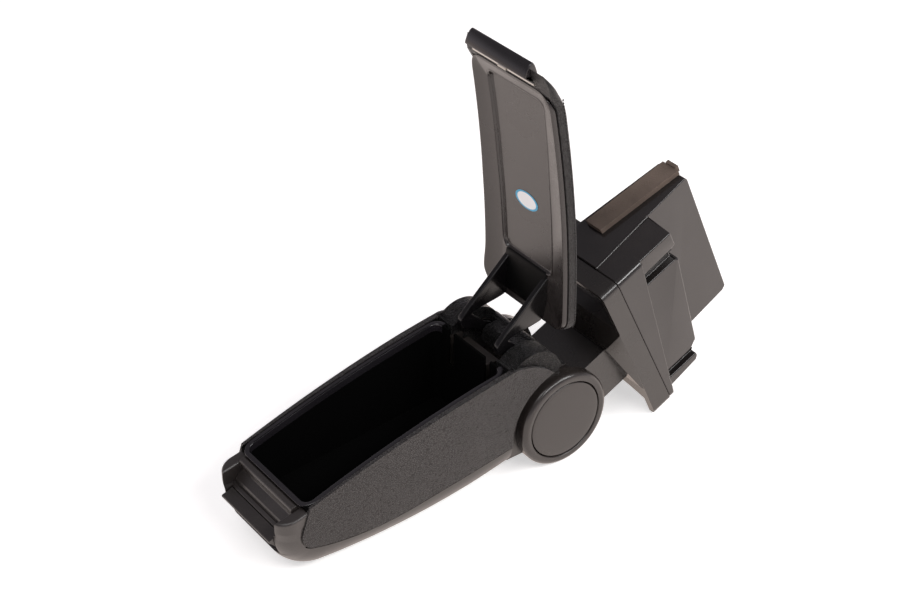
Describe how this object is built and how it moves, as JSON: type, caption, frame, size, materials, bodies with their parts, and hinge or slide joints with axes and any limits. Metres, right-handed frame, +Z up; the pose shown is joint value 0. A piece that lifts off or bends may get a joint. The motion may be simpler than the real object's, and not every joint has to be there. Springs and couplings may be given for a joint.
{
  "type": "car centre armrest",
  "caption": "Car centre armrest: a tapering storage box with a hinged padded lid, held by a round friction hub on an angled neck and plug, shown raised with its lid open",
  "frame": {"origin": "centre of the bounding box on the table the armrest lies on", "axes": "+Z up, +Y from the box's front towards the plug, X along the hub axis"},
  "size_m": [0.1106, 0.4828, 0.3675],
  "materials": {
    "shell": "fine-grained black plastic",
    "tray": "black liner, glossier at its lip",
    "leatherette": "fine-grained black leatherette",
    "cap": "satin black plastic",
    "base": "satin black plastic",
    "panel": "satin black plastic",
    "bracket": "semi-gloss black plastic",
    "foam": "matt brown-grey foam",
    "padding": "upholstery foam",
    "board": "pressed fibre board",
    "bush": "natural nylon",
    "friction": "friction lining",
    "steel": "zinc-plated steel"
  },
  "bodies": {
    "base": {"neck": "base", "pivot_bushes": "bush", "friction_discs": "friction", "stop_pin": "steel", "bezel": "base", "plug_body": "base", "foam_strip": "foam", "bezel_screws": "steel", "neck_screws": "steel"},
    "box": {"outer_shell": "shell", "left_side_panel": "leatherette", "right_side_panel": "leatherette", "storage_tray": "tray", "front_bridge": "shell", "lower_lip": "shell", "hinge_yoke": "shell", "rear_trim": "leatherette", "lid_hinge_pin": "steel", "left_cap": "cap", "right_cap": "cap", "left_cap_disc": "cap", "right_cap_disc": "cap", "pivot_bolt": "steel", "pivot_nut": "steel"},
    "lid": {"lid_panel": "panel", "lid_bracket": "bracket", "bracket_screws": "steel", "lid_board": "board", "lid_foam": "padding", "lid_cover": "leatherette", "latch_pin": "steel", "latch_spring": "steel"},
    "latch": {"latch_lever": "shell"}
  },
  "joints": [
    {"name": "armrest_pivot", "type": "hinge", "parent": "base", "child": "box", "pos_m": [0, 0.03308, 0.0435], "axis": [1, 0, 0], "range_deg": [0, 102]},
    {"name": "lid_hinge", "type": "hinge", "parent": "box", "child": "lid", "pos_m": [0, 0.01158, 0.101], "axis": [1, 0, 0], "range_deg": [0, 98.5]},
    {"name": "latch_lever_hinge", "type": "hinge", "parent": "lid", "child": "latch", "pos_m": [0, 0.00605, 0.35309], "axis": [1, 0, 0], "range_deg": [0, 12], "stiffness_Nm_per_rad": 0.3, "springref_deg": -20.05}
  ]
}
